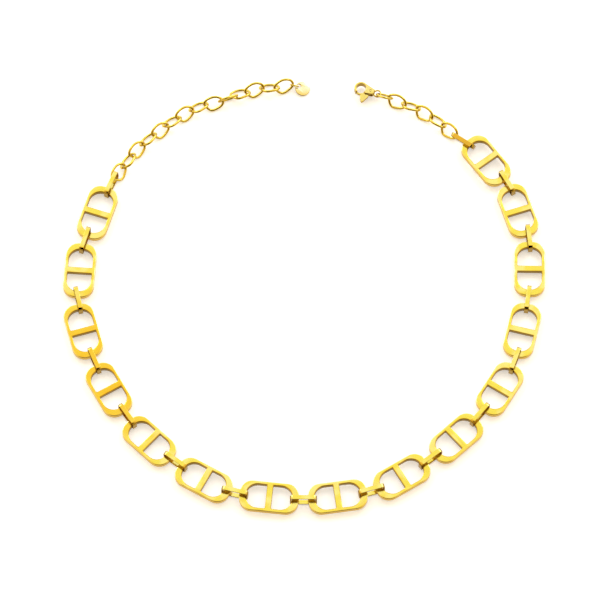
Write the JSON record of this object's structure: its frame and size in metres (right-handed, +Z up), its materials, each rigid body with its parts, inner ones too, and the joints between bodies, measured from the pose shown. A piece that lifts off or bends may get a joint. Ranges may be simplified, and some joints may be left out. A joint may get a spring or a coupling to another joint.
{
  "type": "chain necklace",
  "caption": "Necklace of flat oval crossbar links joined by bent strip connectors, lying open, with a lobster clasp on a short cable chain and an extender chain with a plain disc tag.",
  "frame": {"origin": "middle of the lying necklace's outline, on the surface that it lies on", "axes": "+X to the right towards the clasp side, +Y towards the open end of the chain, +Z up from the surface"},
  "size_m": [0.1651, 0.1609, 0.0052],
  "materials": {
    "link_gold": "polished gold plate",
    "connector_gold": "polished gold plate",
    "wire_gold": "polished gold plate",
    "tag_gold": "polished pale gold plate",
    "clasp_gold": "polished gold plate"
  },
  "bodies": {
    "necklace": {"link_1": "link_gold", "link_2": "link_gold", "link_3": "link_gold", "link_4": "link_gold", "link_5": "link_gold", "link_6": "link_gold", "link_7": "link_gold", "link_8": "link_gold", "link_9": "link_gold", "link_10": "link_gold", "link_11": "link_gold", "link_12": "link_gold", "link_13": "link_gold", "link_14": "link_gold", "link_15": "link_gold", "connector_1": "connector_gold", "connector_2": "connector_gold", "connector_3": "connector_gold", "connector_4": "connector_gold", "connector_5": "connector_gold", "connector_6": "connector_gold", "connector_7": "connector_gold", "connector_8": "connector_gold", "connector_9": "connector_gold", "connector_10": "connector_gold", "connector_11": "connector_gold", "connector_12": "connector_gold", "connector_13": "connector_gold", "connector_14": "connector_gold", "connector_15": "connector_gold", "connector_16": "connector_gold", "extender_chain": "wire_gold", "tag_ring": "wire_gold", "tag": "tag_gold", "clasp_chain": "wire_gold", "clasp_ring": "wire_gold", "clasp_body": "clasp_gold", "clasp_pin": "clasp_gold"},
    "lever": {"clasp_lever": "clasp_gold"}
  },
  "joints": [
    {"name": "clasp_lever_hinge", "type": "hinge", "parent": "necklace", "child": "lever", "pos_m": [0.02292, 0.07571, 0.002], "axis": [0, 0, 1], "range_deg": [0, 28], "stiffness_Nm_per_rad": 0.002}
  ]
}
